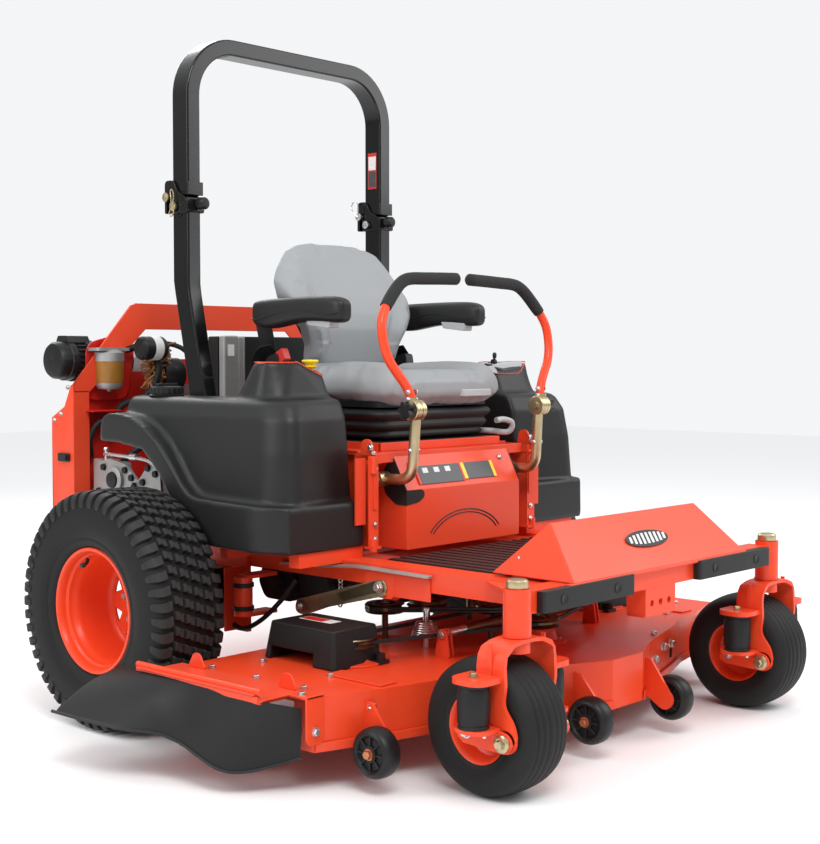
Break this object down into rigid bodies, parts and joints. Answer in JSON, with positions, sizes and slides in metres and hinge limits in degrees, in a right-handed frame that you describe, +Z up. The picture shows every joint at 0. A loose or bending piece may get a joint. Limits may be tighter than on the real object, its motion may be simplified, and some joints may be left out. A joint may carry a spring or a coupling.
{
  "type": "zero turn mower",
  "caption": "Ride-on zero turn mower with folding roll bar, sprung front casters, twin lever steering, grey seat and a belt-driven side-discharge deck.",
  "frame": {"origin": "bottom centre of the whole machine's box, on the ground", "axes": "+Z up, -Y towards the front of the machine, -X towards the driver's right, where the discharge chute is"},
  "size_m": [2.1, 2.018, 1.985],
  "materials": {
    "orange_paint": "gloss powder coat",
    "black_paint": "semi-gloss black powder coat",
    "black_plastic": "finely textured matte moulding",
    "rubber": "matte black rubber",
    "tyre": "matte black tyre",
    "vinyl": "grey grained vinyl",
    "zinc": "yellow zinc plate",
    "bronze_plate": "dark bronze plated steel",
    "engine_alloy": "cast alloy",
    "yellow_plastic": "gloss"
  },
  "bodies": {
    "frame": {"frame_weldment": "orange_paint", "foot_mat": "rubber", "footrest_panel": "orange_paint", "control_tower": "orange_paint", "engine": "engine_alloy", "air_cleaner": "black_plastic", "radiator": "black_paint", "rear_guard": "orange_paint", "seat_base": "black_plastic", "front_bumper_pad_right": "rubber", "wheel_motor_right": "black_paint", "rops_post_right": "black_paint", "pod_right": "black_plastic", "front_bumper_pad_left": "rubber", "wheel_motor_left": "black_paint", "rops_post_left": "black_paint", "pod_left": "black_plastic"},
    "caster_fork_right": {"caster_yoke_right": "orange_paint"},
    "caster_swing_right": {"caster_arm_right": "orange_paint", "caster_damper_right": "rubber"},
    "caster_wheel_right": {"caster_tyre_right": "tyre", "caster_rim_right": "orange_paint"},
    "rear_wheel_right": {"rear_tyre_right": "tyre", "rear_rim_right": "orange_paint"},
    "lever_right": {"steering_lever_right": "zinc"},
    "lever_top_right": {"lever_grip_right": "black_paint"},
    "arm_right": {"armrest_right": "black_plastic"},
    "cap_right": {"fuel_cap_right": "black_plastic"},
    "caster_fork_left": {"caster_yoke_left": "orange_paint"},
    "caster_swing_left": {"caster_arm_left": "orange_paint", "caster_damper_left": "rubber"},
    "caster_wheel_left": {"caster_tyre_left": "tyre", "caster_rim_left": "orange_paint"},
    "rear_wheel_left": {"rear_tyre_left": "tyre", "rear_rim_left": "orange_paint"},
    "lever_left": {"steering_lever_left": "zinc"},
    "lever_top_left": {"lever_grip_left": "black_paint"},
    "arm_left": {"armrest_left": "black_plastic"},
    "cap_left": {"fuel_cap_left": "black_plastic"},
    "rops_top": {"rops_hoop": "black_paint"},
    "seat": {"seat_cushion": "vinyl"},
    "backrest": {"seat_back": "vinyl"},
    "deck": {"deck_shell": "orange_paint", "deck_belt": "rubber", "spindle_cover_right": "black_plastic", "spindle_cover_left": "black_plastic"},
    "lift_shaft": {"lift_rockshaft": "zinc"},
    "chute": {"discharge_flap": "rubber"},
    "spindle_right": {"blade_right": "black_paint", "spindle_pulley_right": "bronze_plate"},
    "spindle_middle": {"blade_middle": "black_paint", "spindle_pulley_middle": "bronze_plate"},
    "spindle_left": {"blade_left": "black_paint", "spindle_pulley_left": "bronze_plate"},
    "gauge_outer_right": {"anti_scalp_outer_right": "black_plastic"},
    "gauge_inner_right": {"anti_scalp_inner_right": "black_plastic"},
    "gauge_inner_left": {"anti_scalp_inner_left": "black_plastic"},
    "gauge_outer_left": {"anti_scalp_outer_left": "black_plastic"},
    "pto": {"pto_knob": "yellow_plastic"},
    "throttle": {"throttle_lever": "black_plastic"}
  },
  "joints": [
    {"name": "caster_swivel_right", "type": "hinge", "parent": "frame", "child": "caster_fork_right", "pos_m": [-0.445, -0.904, 0.43], "axis": [0, 0, 1], "continuous": true},
    {"name": "caster_suspension_right", "type": "hinge", "parent": "caster_fork_right", "child": "caster_swing_right", "pos_m": [-0.445, -0.949, 0.156], "axis": [1, 0, 0], "range_deg": [-2, 4], "stiffness_Nm_per_rad": 6000, "springref_deg": -1.72, "deforming": ["caster_damper_right"]},
    {"name": "caster_roll_right", "type": "hinge", "parent": "caster_swing_right", "child": "caster_wheel_right", "pos_m": [-0.445, -0.844, 0.165], "axis": [1, 0, 0], "continuous": true},
    {"name": "rear_wheel_spin_right", "type": "hinge", "parent": "frame", "child": "rear_wheel_right", "pos_m": [-0.67, 0.305, 0.33], "axis": [1, 0, 0], "continuous": true},
    {"name": "steer_right", "type": "hinge", "parent": "frame", "child": "lever_right", "pos_m": [-0.146, -0.185, 0.678], "axis": [1, 0, 0], "range_deg": [-9, 18]},
    {"name": "lever_reach_right", "type": "hinge", "parent": "lever_right", "child": "lever_top_right", "pos_m": [-0.146, -0.31, 0.872], "axis": [1, 0, 0], "range_deg": [0, 12]},
    {"name": "armrest_flip_right", "type": "hinge", "parent": "backrest", "child": "arm_right", "pos_m": [-0.16, 0.293, 1.147], "axis": [-1, 0, 0], "range_deg": [0, 95]},
    {"name": "fuel_cap_turn_right", "type": "hinge", "parent": "frame", "child": "cap_right", "pos_m": [-0.414, 0.425, 0.915], "axis": [0, 0, 1], "range_deg": [0, 120]},
    {"name": "caster_swivel_left", "type": "hinge", "parent": "frame", "child": "caster_fork_left", "pos_m": [0.713, -0.904, 0.43], "axis": [0, 0, 1], "continuous": true},
    {"name": "caster_suspension_left", "type": "hinge", "parent": "caster_fork_left", "child": "caster_swing_left", "pos_m": [0.713, -0.949, 0.156], "axis": [1, 0, 0], "range_deg": [-2, 4], "stiffness_Nm_per_rad": 6000, "springref_deg": -1.72, "deforming": ["caster_damper_left"]},
    {"name": "caster_roll_left", "type": "hinge", "parent": "caster_swing_left", "child": "caster_wheel_left", "pos_m": [0.713, -0.844, 0.165], "axis": [1, 0, 0], "continuous": true},
    {"name": "rear_wheel_spin_left", "type": "hinge", "parent": "frame", "child": "rear_wheel_left", "pos_m": [0.938, 0.305, 0.33], "axis": [1, 0, 0], "continuous": true},
    {"name": "steer_left", "type": "hinge", "parent": "frame", "child": "lever_left", "pos_m": [0.414, -0.185, 0.678], "axis": [1, 0, 0], "range_deg": [-9, 18]},
    {"name": "lever_reach_left", "type": "hinge", "parent": "lever_left", "child": "lever_top_left", "pos_m": [0.414, -0.31, 0.872], "axis": [1, 0, 0], "range_deg": [0, 12]},
    {"name": "armrest_flip_left", "type": "hinge", "parent": "backrest", "child": "arm_left", "pos_m": [0.428, 0.293, 1.147], "axis": [-1, 0, 0], "range_deg": [0, 95]},
    {"name": "fuel_cap_turn_left", "type": "hinge", "parent": "frame", "child": "cap_left", "pos_m": [0.682, 0.425, 0.915], "axis": [0, 0, 1], "range_deg": [0, 120]},
    {"name": "rops_fold", "type": "hinge", "parent": "frame", "child": "rops_top", "pos_m": [0.134, 0.545, 1.497], "axis": [-1, 0, 0], "range_deg": [0, 110]},
    {"name": "seat_track", "type": "slide", "parent": "frame", "child": "seat", "axis": [0, 1, 0], "range_m": [-0.04, 0.06]},
    {"name": "backrest_recline", "type": "hinge", "parent": "seat", "child": "backrest", "pos_m": [0.134, 0.26, 0.945], "axis": [-1, 0, 0], "range_deg": [-5, 8]},
    {"name": "deck_height", "type": "slide", "parent": "frame", "child": "deck", "axis": [0, 0, 1], "range_m": [-0.03, 0.02]},
    {"name": "deck_lift_turn", "type": "hinge", "parent": "frame", "child": "lift_shaft", "pos_m": [0.134, -0.341, 0.405], "axis": [1, 0, 0], "range_deg": [-6, 6]},
    {"name": "chute_lift", "type": "hinge", "parent": "deck", "child": "chute", "pos_m": [-0.866, -0.255, 0.252], "axis": [0, 1, 0], "range_deg": [0, 70]},
    {"name": "blade_spin_right", "type": "hinge", "parent": "deck", "child": "spindle_right", "pos_m": [-0.411, -0.333, 0.2], "axis": [0, 0, 1], "continuous": true},
    {"name": "blade_spin_middle", "type": "hinge", "parent": "deck", "child": "spindle_middle", "pos_m": [0.134, -0.515, 0.2], "axis": [0, 0, 1], "continuous": true},
    {"name": "blade_spin_left", "type": "hinge", "parent": "deck", "child": "spindle_left", "pos_m": [0.679, -0.333, 0.2], "axis": [0, 0, 1], "continuous": true},
    {"name": "anti_scalp_roll_outer_right", "type": "hinge", "parent": "deck", "child": "gauge_outer_right", "pos_m": [-0.648, -0.651, 0.1], "axis": [1, 0, 0], "continuous": true},
    {"name": "anti_scalp_roll_inner_right", "type": "hinge", "parent": "deck", "child": "gauge_inner_right", "pos_m": [-0.07, -0.845, 0.1], "axis": [1, 0, 0], "continuous": true},
    {"name": "anti_scalp_roll_inner_left", "type": "hinge", "parent": "deck", "child": "gauge_inner_left", "pos_m": [0.28, -0.861, 0.1], "axis": [1, 0, 0], "continuous": true},
    {"name": "anti_scalp_roll_outer_left", "type": "hinge", "parent": "deck", "child": "gauge_outer_left", "pos_m": [0.916, -0.651, 0.1], "axis": [1, 0, 0], "continuous": true},
    {"name": "pto_pull", "type": "slide", "parent": "frame", "child": "pto", "axis": [0, 0, 1], "range_m": [0, 0.012]},
    {"name": "throttle_turn", "type": "hinge", "parent": "frame", "child": "throttle", "pos_m": [0.61, 0.03, 1.001], "axis": [1, 0, 0], "range_deg": [-30, 30]}
  ],
  "couplings": [
    {"joint": "blade_spin_right", "follows": "blade_spin_middle", "ratio": 1},
    {"joint": "blade_spin_left", "follows": "blade_spin_middle", "ratio": 1},
    {"joint": "deck_lift_turn", "follows": "deck_height", "rad_per_m": 3.3}
  ]
}
